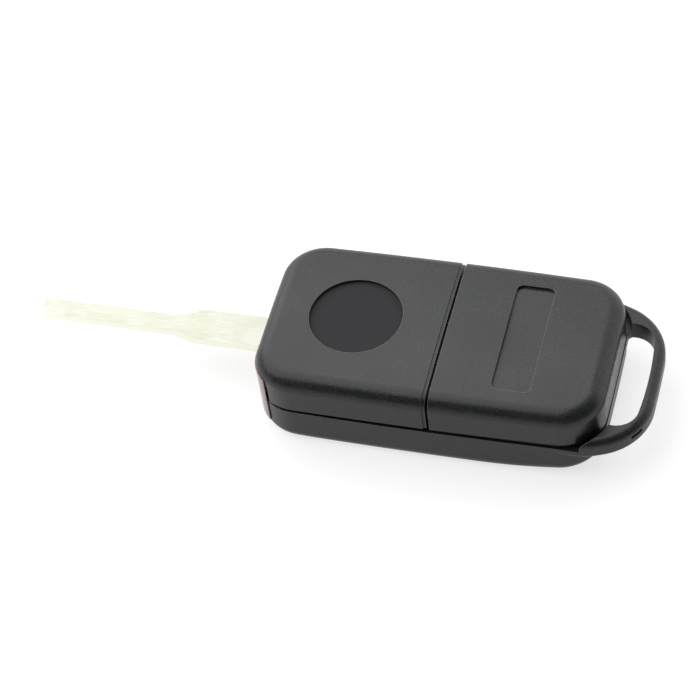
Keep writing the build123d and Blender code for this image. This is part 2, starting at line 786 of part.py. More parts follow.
# Release button: cap, flange, guide stem and two keys that run in the hub's notches
with BuildPart() as release_button:
    with BuildSketch(Plane.XY.offset(release_face_height)):
        with Locations((pivot_x, pivot_y)):
            Circle(release_cap_radius)
    extrude(amount=flange_bottom - release_face_height)
    fillet(release_button.edges().group_by(Axis.Z)[0], release_cap_fillet)
    with BuildSketch(Plane.XY.offset(flange_bottom)):
        with Locations((pivot_x, pivot_y)):
            Circle(release_flange_radius)
    extrude(amount=release_flange_thickness)
    with BuildSketch(Plane.XY.offset(release_flange_top)):
        with Locations((pivot_x, pivot_y)):
            Circle(release_stem_radius)
    extrude(amount=release_stem_height)
    with BuildSketch(Plane.XY.offset(release_flange_top)):
        with Locations((pivot_x, pivot_y)):
            Rectangle(2 * (hub_journal_radius - fit_gap), release_key_width)
            Circle(hub_bore_radius, mode=Mode.SUBTRACT)
    extrude(amount=release_key_height)

# Flip spring, coiled round the stem inside the hub
with BuildPart() as flip_spring:
    with BuildLine() as coil:
        Helix(
            pitch=spring_height / spring_turns,
            height=spring_height,
            radius=spring_mean_radius,
            center=(pivot_x, pivot_y, release_flange_top + spring_wire_radius + release_gap),
        )
    with BuildSketch(Plane(coil.line @ 0, z_dir=coil.line % 0)):
        Circle(spring_wire_radius)
    sweep(is_frenet=True)

# Front-face buttons, recessed below the rest face
button_names = ("lock_button", "unlock_button", "trunk_button")
buttons = []
for name, x in zip(button_names, button_places):
    with BuildPart() as button:
        with BuildSketch(Plane.XY.offset(button_recess)):
            with Locations((x, keypad_mid_y)):
                add(button_plan(0))
        extrude(amount=flange_bottom - button_recess)
        fillet(button.edges().group_by(Axis.Z)[0], button_edge_radius)
        with BuildSketch(Plane.XY.offset(flange_bottom)):
            with Locations((x, keypad_mid_y)):
                add(button_plan(button_flange))
        extrude(amount=button_flange_thickness)
    button.part.label = name
    buttons.append(button.part)

with BuildPart() as led_window:
    with BuildSketch(Plane.XY.offset(button_recess)):
        with Locations((led_x, keypad_mid_y)):
            Circle(led_radius)
    extrude(amount=wall - button_recess)
    with BuildSketch(Plane.XY.offset(wall)):
        with Locations((led_x, keypad_mid_y)):
            Circle(led_radius + led_flange)
    extrude(amount=carrier_bottom - wall)

with BuildPart() as keypad_membrane:
    with BuildSketch(Plane.XY.offset(membrane_bottom)):
        with Locations((keypad_mid_x, keypad_mid_y)):
            Rectangle(keypad_length + keypad_rib, keypad_width + keypad_rib)
    extrude(amount=membrane_thickness)
    with BuildSketch(Plane.XY.offset(membrane_bottom)):
        with Locations([(x, keypad_mid_y) for x in button_places]):
            Circle(membrane_nib_radius)
    extrude(amount=-membrane_nib_height)

# Board carrier with the open cell well
with BuildPart() as board_carrier:
    with BuildSketch(Plane.XY.offset(carrier_bottom)):
        with Locations((carrier_start_x, near_y)):
            Rectangle(body_length, partition_y - free_gap - near_y, align=(Align.MIN, Align.MIN))
        with Locations(screw_places):
            Circle(screw_boss_radius + free_gap, mode=Mode.SUBTRACT)
    extrude(amount=carrier_thickness)
    with BuildSketch(Plane.XY.offset(carrier_top)):
        with Locations((cell_x, cell_y)):
            Circle(cell_well_radius + cell_well_wall)
            Circle(cell_well_radius, mode=Mode.SUBTRACT)
            Rectangle(body_width, contact_slot, align=(Align.MIN, Align.CENTER), mode=Mode.SUBTRACT)
            Rectangle(cell_well_gap, body_width, align=(Align.CENTER, Align.MAX), mode=Mode.SUBTRACT)
        with Locations((0, partition_y - free_gap)):
            Rectangle(2 * body_length, body_width, align=(Align.CENTER, Align.MIN), mode=Mode.SUBTRACT)
    extrude(amount=cell_well_height)
    with BuildSketch():
        add(housing_plan(wall + free_gap))
    extrude(amount=body_height, mode=Mode.INTERSECT)


# Contact strip, bent along a line in its own upright plane
def contact_strip(route):
    with BuildPart(mode=Mode.PRIVATE) as strip:
        with BuildSketch(Plane.XZ.offset(contact_width / 2 - cell_y)):
            with BuildLine() as bent:
                Polyline(*route)
            trace(line_width=contact_thickness)
        extrude(amount=-contact_width)
    return strip.part


strip_z = carrier_top + contact_thickness / 2
contact_x = cell_x + cell_well_radius + contact_thickness
contact_positive_part = contact_strip(
    ((contact_x + contact_foot, strip_z), (contact_x, strip_z), (contact_x, carrier_top + cell_well_height),
     (contact_x - contact_hook, carrier_top + cell_well_height + contact_hook / 2))
)
contact_negative_part = contact_strip(
    ((cell_x - contact_foot, strip_z), (cell_x, strip_z), (cell_x + contact_foot, strip_z + contact_rise),
     (cell_x + contact_foot + contact_tip, strip_z + contact_rise / 2))
)

with BuildPart() as cell_pad:
    with BuildSketch(Plane.XY.offset(cell_pad_bottom)):
        with Locations((cell_x, cell_y)):
            Circle(pad_radius)
    extrude(amount=pad_thickness)

with BuildPart() as case_screws:
    with BuildSketch(Plane.XY.offset(screw_head_bottom)):
        with Locations(screw_places):
            Circle(screw_head_radius)
    extrude(amount=screw_head_height)
    with BuildSketch(Plane.XY.offset(screw_head_bottom)):
        with Locations(screw_places):
            Circle(screw_shank_radius)
    extrude(amount=-screw_length - screw_ear_thickness + free_gap)

pieces = {
    "lower_case": lower_case.part,
    "upper_cover": upper_cover.part,
    "battery_cover": battery_cover.part,
    "nose_lens": nose_lens.part,
    "led_window": led_window.part,
    "keypad_membrane": keypad_membrane.part,
    "blade_hub": blade_hub.part,
    "key_blade": key_blade.part,
    "blade_pin": blade_pin.part,
    "thrust_washer": thrust_washer.part,
    "release_button": release_button.part,
    "flip_spring": flip_spring.part,
    "board_carrier": board_carrier.part,
    "contact_positive": contact_positive_part,
    "contact_negative": contact_negative_part,
    "cell_pad": cell_pad.part,
    "case_screws": case_screws.part,
}
for piece in buttons:
    pieces[piece.label] = piece
for name, piece in pieces.items():
    piece.label = name
    export_step(piece, f"parts/{name}.step")
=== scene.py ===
from math import cos, pi, radians, sin

import bmesh
import bpy
from mathutils import Matrix, Vector
from mathutils.bvhtree import BVHTree
from mathutils.interpolate import poly_3d_calc


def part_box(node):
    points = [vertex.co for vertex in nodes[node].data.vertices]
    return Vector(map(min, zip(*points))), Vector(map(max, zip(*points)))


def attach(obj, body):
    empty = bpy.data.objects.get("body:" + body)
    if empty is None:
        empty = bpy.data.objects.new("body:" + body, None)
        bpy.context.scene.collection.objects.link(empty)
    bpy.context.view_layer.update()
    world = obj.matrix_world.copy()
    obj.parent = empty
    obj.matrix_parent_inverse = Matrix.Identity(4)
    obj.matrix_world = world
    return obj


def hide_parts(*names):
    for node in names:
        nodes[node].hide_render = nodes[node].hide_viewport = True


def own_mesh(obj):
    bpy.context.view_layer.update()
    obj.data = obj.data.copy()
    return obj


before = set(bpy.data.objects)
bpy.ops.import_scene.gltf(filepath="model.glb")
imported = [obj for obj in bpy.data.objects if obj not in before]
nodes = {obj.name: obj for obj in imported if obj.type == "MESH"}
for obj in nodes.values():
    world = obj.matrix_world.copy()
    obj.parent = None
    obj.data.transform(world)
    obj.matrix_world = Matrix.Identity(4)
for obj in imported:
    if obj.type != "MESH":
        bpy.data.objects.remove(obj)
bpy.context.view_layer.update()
mm = 0.001
scene = bpy.context.scene
scene.view_settings.view_transform = "Standard"
print("frame loaded:", len(nodes), "nodes")


def link(obj):
    scene.collection.objects.link(obj)
    return obj


# Small helpers for node trees
def setSocket(tree, socket, value):
    if hasattr(value, "is_output"):
        tree.links.new(value, socket)
    else:
        socket.default_value = value


def addNode(tree, kind, settings=None, **inputs):
    node = tree.nodes.new(kind)
    for key, value in (settings or {}).items():
        setattr(node, key, value)
    for key, value in inputs.items():
        setSocket(tree, node.inputs[key.replace("_", " ")], value)
    return node


# A node whose inputs share names or have none is filled by their numbers
def fillNode(tree, node, numbers, values):
    for number, value in zip(numbers, values):
        setSocket(tree, node.inputs[number], value)
    return node


def calc(tree, operation, a, b=0.0, clamp=False):
    node = addNode(tree, "ShaderNodeMath", {"operation": operation, "use_clamp": clamp})
    return fillNode(tree, node, (0, 1), (a, b)).outputs[0]


def times(tree, value, factor):
    return calc(tree, "MULTIPLY", value, factor)


def mixValue(tree, factor, a, b):
    node = addNode(tree, "ShaderNodeMix", {"data_type": "FLOAT"})
    return fillNode(tree, node, (0, 2, 3), (factor, a, b)).outputs[0]


def mixColour(tree, factor, a, b):
    node = addNode(tree, "ShaderNodeMix", {"data_type": "RGBA"})
    return fillNode(tree, node, (0, 6, 7), (factor, a, b)).outputs[2]


def dot(tree, a, b):
    node = addNode(tree, "ShaderNodeVectorMath", {"operation": "DOT_PRODUCT"})
    return fillNode(tree, node, (0, 1), (a, b)).outputs["Value"]


def remap(tree, value, low, high, newLow=0.0, newHigh=1.0):
    limits = {"From_Min": low, "From_Max": high, "To_Min": newLow, "To_Max": newHigh}
    return addNode(tree, "ShaderNodeMapRange", Value=value, **limits).outputs["Result"]


def newGroup(name, inputs, outputs):
    tree = bpy.data.node_groups.new(name, "ShaderNodeTree")
    for label, value in inputs.items():
        kind = "NodeSocketFloat"
        if isinstance(value, tuple):
            kind = "NodeSocketColor" if len(value) == 4 else "NodeSocketVector"
        socket = tree.interface.new_socket(name=label, in_out="INPUT", socket_type=kind)
        socket.default_value = value
    for label in outputs:
        kind = "NodeSocketColor" if label == "Colour" else "NodeSocketFloat"
        tree.interface.new_socket(name=label, in_out="OUTPUT", socket_type=kind)
    given = tree.nodes.new("NodeGroupInput").outputs
    made = tree.nodes.new("NodeGroupOutput").inputs
    return tree, given, made


noiseSpread = (0.3, 0.7)  # most of a noise texture's values lie between these

# Fine moulded grain with tiny bright specks, and edges lightened partly as rubbed wear and partly as
# a painted highlight
mouldPlan = {
    "grainDetail": 2.0,
    "pitScale": 0.45,
    "pitHeight": 0.4,
    "broadScale": 70.0,
    "broadDetail": 3.0,
    "speckFrom": 0.5,
    "speckTo": 0.75,
    "broadRoughness": 0.05,
    "fineRoughness": 0.09,
}


def makeMouldGrain():
    inputs = {
        "Vector": (0.0, 0.0, 0.0),
        "Colour": (0.02, 0.02, 0.02, 1.0),
        "Speck Colour": (0.2, 0.2, 0.2, 1.0),
        "Grain Scale": 6500.0,
        "Speck Amount": 0.5,
        "Edge Wear And Highlight Colour": (0.2, 0.2, 0.2, 1.0),
        "Roughness": 0.45,
        "Edge": 0.0,
        "Edge Wear And Highlight": 0.3,
    }
    plan = mouldPlan
    tree, given, made = newGroup("mouldGrain", inputs, ("Colour", "Roughness", "Height"))
    place, scale = given["Vector"], given["Grain Scale"]
    grain = addNode(tree, "ShaderNodeTexNoise", Vector=place, Scale=scale, Detail=plan["grainDetail"])
    pitScale = times(tree, scale, plan["pitScale"])
    pits = addNode(tree, "ShaderNodeTexVoronoi", Vector=place, Scale=pitScale)
    broad = addNode(tree, "ShaderNodeTexNoise", Vector=place, Scale=plan["broadScale"])
    broad.inputs["Detail"].default_value = plan["broadDetail"]
    speck = remap(tree, grain.outputs["Fac"], plan["speckFrom"], plan["speckTo"])
    speck = calc(tree, "MULTIPLY", speck, given["Speck Amount"], clamp=True)
    # edges are lightened partly as rubbed wear and partly as a painted highlight
    edgeWearAndHighlight = calc(tree, "MULTIPLY", given["Edge"], given["Edge Wear And Highlight"], clamp=True)
    flecked = mixColour(tree, speck, given["Colour"], given["Speck Colour"])
    tree.links.new(mixColour(tree, edgeWearAndHighlight, flecked, given["Edge Wear And Highlight Colour"]), made["Colour"])
    broadReach, fineReach = plan["broadRoughness"], plan["fineRoughness"]
    drift = remap(tree, broad.outputs["Fac"], *noiseSpread, -broadReach, broadReach)
    fine = remap(tree, grain.outputs["Fac"], *noiseSpread, -fineReach, fineReach)
    rough = calc(tree, "ADD", calc(tree, "ADD", drift, fine), given["Roughness"], clamp=True)
    tree.links.new(rough, made["Roughness"])
    pitHeight = times(tree, pits.outputs["Distance"], plan["pitHeight"])
    tree.links.new(calc(tree, "ADD", grain.outputs["Fac"], pitHeight), made["Height"])
    return tree


# Rolled or drawn metal: fine lines along one way, with faint stains, and edges lightened partly as
# rubbed wear and partly as a painted highlight
metalPlan = {
    "stretch": (0.04, 1.0, 1.0),
    "lineDetail": 3.0,
    "stainDetail": 4.0,
    "stainFrom": 0.42,
    "stainTo": 0.68,
    "stainRoughness": 0.1,
    "lineRoughness": 0.07,
    "edgeWearAndHighlightColour": (0.95, 0.95, 0.93, 1.0),
}


def makeMetalGrain():
    inputs = {
        "Vector": (0.0, 0.0, 0.0),
        "Colour": (0.7, 0.7, 0.7, 1.0),
        "Stain Colour": (0.5, 0.45, 0.3, 1.0),
        "Line Scale": 3500.0,
        "Stain Scale": 160.0,
        "Stain Amount": 0.3,
        "Roughness": 0.35,
        "Edge": 0.0,
        "Edge Wear And Highlight": 0.3,
    }
    plan = metalPlan
    tree, given, made = newGroup("metalGrain", inputs, ("Colour", "Roughness", "Height"))
    place = given["Vector"]
    drawn = addNode(tree, "ShaderNodeMapping", Vector=place, Scale=plan["stretch"]).outputs[0]
    lines = addNode(tree, "ShaderNodeTexNoise", Vector=drawn, Scale=given["Line Scale"])
    lines.inputs["Detail"].default_value = plan["lineDetail"]
    stains = addNode(tree, "ShaderNodeTexNoise", Vector=place, Scale=given["Stain Scale"])
    stains.inputs["Detail"].default_value = plan["stainDetail"]
    stained = remap(tree, stains.outputs["Fac"], plan["stainFrom"], plan["stainTo"])
    stained = calc(tree, "MULTIPLY", stained, given["Stain Amount"], clamp=True)
    colour = mixColour(tree, stained, given["Colour"], given["Stain Colour"])
    # edges are lightened partly as rubbed wear and partly as a painted highlight
    edgeWearAndHighlight = calc(tree, "MULTIPLY", given["Edge"], given["Edge Wear And Highlight"], clamp=True)
    tree.links.new(mixColour(tree, edgeWearAndHighlight, colour, plan["edgeWearAndHighlightColour"]), made["Colour"])
    reach = plan["lineRoughness"]
    fine = remap(tree, lines.outputs["Fac"], *noiseSpread, -reach, reach)
    rough = calc(tree, "ADD", fine, times(tree, stained, plan["stainRoughness"]))
    tree.links.new(calc(tree, "ADD", rough, given["Roughness"], clamp=True), made["Roughness"])
    tree.links.new(lines.outputs["Fac"], made["Height"])
    return tree


mouldGrain = makeMouldGrain()
metalGrain = makeMetalGrain()


def newMaterial(name):
    material = bpy.data.materials.new(name)
    material.use_nodes = True
    tree = material.node_tree
    tree.nodes.clear()
    shader = tree.nodes.new("ShaderNodeBsdfPrincipled")
    out = tree.nodes.new("ShaderNodeOutputMaterial")
    tree.links.new(shader.outputs[0], out.inputs["Surface"])
    place = tree.nodes.new("ShaderNodeTexCoord").outputs["Object"]
    return material, tree, shader, place


def firstOf(tree, kind):
    return next(node for node in tree.nodes if node.type == kind)


# An edge is where the bevelled normal turns away from the true one. Only edges in the open get the
# rubbed wear and the painted highlight, so that inward corners are left dark
edgePlan = {
    "samples": 6,
    "turnFrom": 0.995,
    "turnTo": 0.9,
    "openReach": 0.4,
    "openFrom": 0.75,
    "openTo": 0.95,
}


def softenEdges(tree, look, turnFrom, turnTo):
    settings = {"samples": edgePlan["samples"]}
    soft = addNode(tree, "ShaderNodeBevel", settings, Radius=look["edgeRadius"] * mm).outputs[0]
    geometry = tree.nodes.new("ShaderNodeNewGeometry")
    edge = remap(tree, dot(tree, soft, geometry.outputs["Normal"]), turnFrom, turnTo)
    return soft, edge


def addBump(tree, shader, look, height, soft):
    reach = look["grainDepth"] * mm
    bump = addNode(tree, "ShaderNodeBump", Strength=look["bump"], Distance=reach, Height=height)
    tree.links.new(soft, bump.inputs["Normal"])
    tree.links.new(bump.outputs["Normal"], shader.inputs["Normal"])


# A material from one of the two grain groups; look holds the group's inputs and the plain values
def grainMaterial(name, group, look):
    material, tree, shader, place = newMaterial(name)
    soft, edge = softenEdges(tree, look, edgePlan["turnFrom"], edgePlan["turnTo"])
    grain = addNode(tree, "ShaderNodeGroup", {"node_tree": group}, Vector=place)
    settings = {"samples": edgePlan["samples"]}
    reach = edgePlan["openReach"] * mm
    openness = addNode(tree, "ShaderNodeAmbientOcclusion", settings, Distance=reach)
    outward = remap(tree, openness.outputs["AO"], edgePlan["openFrom"], edgePlan["openTo"])
    tree.links.new(calc(tree, "MULTIPLY", edge, outward), grain.inputs["Edge"])
    for label, value in look["grain"].items():
        grain.inputs[label].default_value = (*value, 1) if isinstance(value, tuple) else value
    addBump(tree, shader, look, grain.outputs["Height"], soft)
    tree.links.new(grain.outputs["Colour"], shader.inputs["Base Color"])
    tree.links.new(grain.outputs["Roughness"], shader.inputs["Roughness"])
    for label, value in look.get("shader", {}).items():
        shader.inputs[label].default_value = value
    return material


shellLook = {
    "grain": {
        "Colour": (0.0112, 0.0120, 0.0128),
        "Speck Colour": (0.052, 0.054, 0.056),
        "Grain Scale": 3600.0,
        "Speck Amount": 0.75,
        # the pale edge colour paints thin light lines along the rims: mostly painted highlight,
        # partly rubbed wear
        "Edge Wear And Highlight Colour": (0.3, 0.3, 0.3),
        "Roughness": 0.35,
        "Edge Wear And Highlight": 0.7,
    },
    "bump": 0.6,
    "grainDepth": 0.03,
    "edgeRadius": 0.12,
    "shader": {"IOR": 1.43},
}
shellPlastic = grainMaterial("shellPlastic", mouldGrain, shellLook)

# The floor of the round recess is moulded finer and flatter than the skin round it
recessLook = {
    "centre": (-16.1, 0.0),
    "radius": 8.95,
    "top": 17.25,
    "colour": (0.0195, 0.020, 0.022),
    "roughness": 0.85,
}


def makeCoverPlastic():
    material = grainMaterial("coverPlastic", mouldGrain, shellLook)
    tree = material.node_tree
    shader = firstOf(tree, "BSDF_PRINCIPLED")
    grain = firstOf(tree, "GROUP")
    place = firstOf(tree, "TEX_COORD").outputs["Object"]
    centreX, centreY = recessLook["centre"]
    shift = (-centreX * mm, -centreY * mm, 0)
    centred = addNode(tree, "ShaderNodeMapping", Vector=place, Location=shift)
    parts = addNode(tree, "ShaderNodeSeparateXYZ", Vector=centred.outputs[0])
    flat = addNode(tree, "ShaderNodeCombineXYZ", X=parts.outputs["X"], Y=parts.outputs["Y"])
    reach = addNode(tree, "ShaderNodeVectorMath", {"operation": "LENGTH"})
    tree.links.new(flat.outputs[0], reach.inputs[0])
    inside = calc(tree, "LESS_THAN", reach.outputs["Value"], recessLook["radius"] * mm)
    below = calc(tree, "LESS_THAN", parts.outputs["Z"], recessLook["top"] * mm)
    mask = calc(tree, "MULTIPLY", inside, below)
    colour = mixColour(tree, mask, grain.outputs["Colour"], (*recessLook["colour"], 1))
    tree.links.new(colour, shader.inputs["Base Color"])
    rough = mixValue(tree, mask, grain.outputs["Roughness"], recessLook["roughness"])
    tree.links.new(rough, shader.inputs["Roughness"])
    return material


coverPlastic = makeCoverPlastic()

buttonLook = {
    "grain": {
        "Colour": (0.017, 0.017, 0.018),
        "Speck Colour": (0.06, 0.06, 0.062),
        "Grain Scale": 9000.0,
        "Speck Amount": 0.3,
        "Roughness": 0.58,
        "Edge Wear And Highlight": 0.2,
    },
    "bump": 0.25,
    "grainDepth": 0.02,
    "edgeRadius": 0.1,
}
buttonRubber = grainMaterial("buttonRubber", mouldGrain, buttonLook)

# The raised signs are the same rubber, paled by touch
signLook = {
    "grain": {
        "Colour": (0.085, 0.085, 0.088),
        "Speck Colour": (0.14, 0.14, 0.145),
        "Grain Scale": 9000.0,
        "Speck Amount": 0.4,
        "Edge Wear And Highlight Colour": (0.16, 0.16, 0.165),
        "Roughness": 0.5,
        "Edge Wear And Highlight": 0.6,
    },
    "bump": 0.2,
    "grainDepth": 0.02,
    "edgeRadius": 0.05,
}
signRubber = grainMaterial("signRubber", mouldGrain, signLook)

membraneLook = {
    "grain": {
        "Colour": (0.08, 0.08, 0.09),
        "Speck Colour": (0.16, 0.16, 0.17),
        "Grain Scale": 5000.0,
        "Speck Amount": 0.4,
        "Roughness": 0.7,
        "Edge Wear And Highlight": 0.1,
    },
    "bump": 0.2,
    "grainDepth": 0.02,
    "edgeRadius": 0.1,
}
membraneRubber = grainMaterial("membraneRubber", mouldGrain, membraneLook)

carrierLook = {
    "grain": {
        "Colour": (0.1, 0.1, 0.105),
        "Speck Colour": (0.2, 0.2, 0.21),
        "Grain Scale": 4000.0,
        "Speck Amount": 0.35,
        "Roughness": 0.5,
        "Edge Wear And Highlight": 0.25,
    },
    "bump": 0.25,
    "grainDepth": 0.02,
    "edgeRadius": 0.12,
}
carrierPlastic = grainMaterial("carrierPlastic", mouldGrain, carrierLook)

padLook = {
    "grain": {
        "Colour": (0.03, 0.03, 0.034),
        "Speck Colour": (0.14, 0.14, 0.15),
        "Grain Scale": 2600.0,
        "Speck Amount": 0.8,
        "Roughness": 0.9,
        "Edge Wear And Highlight": 0.0,
    },
    "bump": 0.9,
    "grainDepth": 0.12,
    "edgeRadius": 0.2,
}
padFoam = grainMaterial("padFoam", mouldGrain, padLook)

washerLook = {
    "grain": {
        "Colour": (0.74, 0.73, 0.68),
        "Speck Colour": (0.8, 0.79, 0.75),
        "Edge Wear And Highlight Colour": (0.85, 0.84, 0.8),
        "Grain Scale": 3000.0,
        "Speck Amount": 0.2,
        "Roughness": 0.35,
        "Edge Wear And Highlight": 0.1,
    },
    "bump": 0.1,
    "grainDepth": 0.01,
    "edgeRadius": 0.06,
}
washerPlastic = grainMaterial("washerPlastic", mouldGrain, washerLook)

# The blade's upright sides are painted much lighter than its flat faces: a painted highlight standing
# in for the light that the sides catch
bladeLook = {
    "grain": {
        "Colour": (0.425, 0.427, 0.372),
        "Stain Colour": (0.405, 0.392, 0.30),
        "Line Scale": 9000.0,
        "Stain Scale": 220.0,
        "Stain Amount": 0.3,
        "Roughness": 0.42,
        # edges lightened to near white: a painted highlight along the ridge and rims, partly rubbed
        # wear
        "Edge Wear And Highlight": 1.0,
    },
    "bump": 0.1,
    "grainDepth": 0.01,
    "edgeRadius": 0.08,
    "shader": {"Metallic": 1.0},
    "paintedSideLight": (0.93, 0.93, 0.80),
    "sideLightFrom": 0.97,
    "sideLightTo": 0.85,
}


def makeBladeNickel(look):
    material = grainMaterial("bladeNickel", metalGrain, look)
    tree = material.node_tree
    grain = firstOf(tree, "GROUP")
    normal = firstOf(tree, "NEW_GEOMETRY").outputs["True Normal"]
    parts = addNode(tree, "ShaderNodeSeparateXYZ", Vector=normal)
    upward = calc(tree, "ABSOLUTE", parts.outputs["Z"])
    # upright faces get the painted highlight colour, flat faces keep the darker base
    side = remap(tree, upward, look["sideLightFrom"], look["sideLightTo"])
    colour = mixColour(tree, side, grain.outputs["Colour"], (*look["paintedSideLight"], 1))
    tree.links.new(colour, firstOf(tree, "BSDF_PRINCIPLED").inputs["Base Color"])
    return material


bladeNickel = makeBladeNickel(bladeLook)

hubLook = {
    "grain": {
        "Colour": (0.4, 0.4, 0.41),
        "Stain Colour": (0.28, 0.28, 0.29),
        "Line Scale": 1800.0,
        "Stain Scale": 300.0,
        "Stain Amount": 0.6,
        "Roughness": 0.45,
        "Edge Wear And Highlight": 0.3,
    },
    "bump": 0.2,
    "grainDepth": 0.03,
    "edgeRadius": 0.15,
    "shader": {"Metallic": 1.0},
}
hubMetal = grainMaterial("hubMetal", metalGrain, hubLook)

springLook = {
    "grain": {
        "Colour": (0.5, 0.49, 0.47),
        "Stain Colour": (0.36, 0.33, 0.28),
        "Line Scale": 5000.0,
        "Stain Scale": 500.0,
        "Stain Amount": 0.4,
        "Roughness": 0.28,
        "Edge Wear And Highlight": 0.1,
    },
    "bump": 0.1,
    "grainDepth": 0.01,
    "edgeRadius": 0.05,
    "shader": {"Metallic": 1.0},
}
springSteel = grainMaterial("springSteel", metalGrain, springLook)

contactLook = {
    "grain": {
        "Colour": (0.74, 0.7, 0.56),
        "Stain Colour": (0.6, 0.5, 0.3),
        "Line Scale": 4500.0,
        "Stain Scale": 350.0,
        "Stain Amount": 0.35,
        "Roughness": 0.25,
        "Edge Wear And Highlight": 0.2,
    },
    "bump": 0.1,
    "grainDepth": 0.01,
    "edgeRadius": 0.06,
    "shader": {"Metallic": 1.0},
}
contactMetal = grainMaterial("contactMetal", metalGrain, contactLook)

screwLook = {
    "grain": {
        "Colour": (0.46, 0.46, 0.47),
        "Stain Colour": (0.4, 0.37, 0.3),
        "Line Scale": 4000.0,
        "Stain Scale": 600.0,
        "Stain Amount": 0.4,
        "Roughness": 0.3,
        "Edge Wear And Highlight": 0.35,
    },
    "bump": 0.1,
    "grainDepth": 0.01,
    "edgeRadius": 0.06,
    "shader": {"Metallic": 1.0},
}
screwSteel = grainMaterial("screwSteel", metalGrain, screwLook)

# Polished translucent lens, its edges painted a lighter red as painted light shining through where it
# is thin, with faint moulding streaks
lensLook = {
    "deep": (0.16, 0.006, 0.010, 1),
    "litThinEdge": (0.42, 0.012, 0.02, 1),
    "litEdgeFrom": 0.998,
    "litEdgeTo": 0.93,
    "edgeRadius": 0.2,
    "streakScale": 320.0,
    "streakDetail": 3.0,
    "streakSpread": (0.35, 0.65),
    "roughness": (0.03, 0.08),
    "bump": 0.05,
    "grainDepth": 0.03,
    "transmission": 0.3,
    "ior": 1.75,
}


def makeLens(name, look):
    material, tree, shader, place = newMaterial(name)
    soft, edge = softenEdges(tree, look, look["litEdgeFrom"], look["litEdgeTo"])
    # the edges are painted a lighter red: painted light shining through the thin edges
    tree.links.new(mixColour(tree, edge, look["deep"], look["litThinEdge"]), shader.inputs["Base Color"])
    streaks = addNode(tree, "ShaderNodeTexNoise", Vector=place, Scale=look["streakScale"])
    streaks.inputs["Detail"].default_value = look["streakDetail"]
    rough = remap(tree, streaks.outputs["Fac"], *look["streakSpread"], *look["roughness"])
    tree.links.new(rough, shader.inputs["Roughness"])
    addBump(tree, shader, look, streaks.outputs["Fac"], soft)
    shader.inputs["Transmission Weight"].default_value = look["transmission"]
    shader.inputs["IOR"].default_value = look["ior"]
    return material


lensRed = makeLens("lensRed", lensLook)
windowLook = dict(lensLook, deep=(0.3, 0.03, 0.03, 1), litThinEdge=(0.5, 0.06, 0.06, 1), edgeRadius=0.1)
ledClear = makeLens("ledClear", windowLook)

finishes = {
    "lower_case": shellPlastic,
    "upper_cover": coverPlastic,
    "battery_cover": shellPlastic,
    "nose_lens": lensRed,
    "led_window": ledClear,
    "keypad_membrane": membraneRubber,
    "lock_button": buttonRubber,
    "unlock_button": buttonRubber,
    "trunk_button": buttonRubber,
    "release_button": buttonRubber,
    "blade_hub": hubMetal,
    "key_blade": bladeNickel,
    "blade_pin": springSteel,
    "thrust_washer": washerPlastic,
    "flip_spring": springSteel,
    "board_carrier": carrierPlastic,
    "contact_positive": contactMetal,
    "contact_negative": contactMetal,
    "case_screws": screwSteel,
    "cell_pad": padFoam,
}
for nodeName, material in finishes.items():
    for materialSlot in nodes[nodeName].material_slots:
        materialSlot.material = material
print("materials made:", len(finishes))

# Copies of CAD meshes: how near two corners are merged, and how near to a CAD face and how much
# alike in direction a face has to be to keep that face's shading
copyPlan = {"merge": 0.0005, "near": 0.0005, "alike": 0.999}


def mergedCopy(nodeName):
    bm = bmesh.new()
    bm.from_mesh(nodes[nodeName].data)
    bmesh.ops.remove_doubles(bm, verts=bm.verts, dist=copyPlan["merge"] * mm)
    return bm


def meshFrom(bm, name):
    mesh = bpy.data.meshes.new(name)
    bm.to_mesh(mesh)
    bm.free()
    return mesh


# The copy is shaded with the CAD mesh's own corner normals; faces that were moved or made stay flat
def keepShading(mesh, nodeName):
    source = nodes[nodeName].data
    places = [vert.co.copy() for vert in source.vertices]
    corners = [tuple(face.vertices) for face in source.polygons]
    tree = BVHTree.FromPolygons(places, corners)
    given = [corner.vector.copy() for corner in source.corner_normals]
    mesh.shade_smooth()
    normals = []
    for face in mesh.polygons:
        found, facing, index, distance = tree.find_nearest(face.center)
        if distance > copyPlan["near"] * mm or facing.dot(face.normal) < copyPlan["alike"]:
            normals += [face.normal.copy()] * face.loop_total
            continue
        first = source.polygons[index].loop_start
        triangle = [places[corner] for corner in corners[index]]
        for vertIndex in face.vertices:
            weights = poly_3d_calc(triangle, mesh.vertices[vertIndex].co)
            mixed = sum((given[first + i] * weight for i, weight in enumerate(weights)), Vector())
            normals.append(mixed.normalized())
    mesh.normals_split_custom_set(normals)


# A piece rides on a body and, where nodeName is given, stands in for that CAD node
def addPiece(name, mesh, material, body, nodeName):
    mesh.materials.clear()
    mesh.materials.append(material)
    piece = link(bpy.data.objects.new(name, mesh))
    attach(piece, body)
    if nodeName:
        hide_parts(nodeName)
    return piece


# The back's lower edge is set back a little on the near side, so that the parting line shows as a
# dark groove that widens towards the tail
rebatePlan = {
    "depth": 0.45,
    "noseHeight": 9.05,
    "tailHeight": 9.75,
    "ledge": 0.03,
    "nearBelow": -8.0,
    "fadeNose": (-29.6, -27.0),
    "fadeTail": (31.5, 29.0),
    "upright": 0.9,
    "rayStart": 0.01,
    "cutSlack": 0.0001,
}
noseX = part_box("upper_cover")[0].x
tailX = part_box("battery_cover")[1].x


def fadeBetween(value, low, high):
    return min(max((value - low * mm) / (high * mm - low * mm), 0.0), 1.0)


# The faces of the outer skin on the near side: nothing lies beyond them
def outerWall(bm):
    tree = BVHTree.FromBMesh(bm)
    wall = []
    for face in bm.faces:
        centre = face.calc_center_median()
        outward = Vector((face.normal.x, face.normal.y, 0))
        if centre.y > rebatePlan["nearBelow"] * mm or outward.y > 0:
            continue
        if outward.length < rebatePlan["upright"]:
            continue
        if tree.ray_cast(centre + outward * rebatePlan["rayStart"] * mm, outward)[0] is None:
            wall.append(face)
    return wall


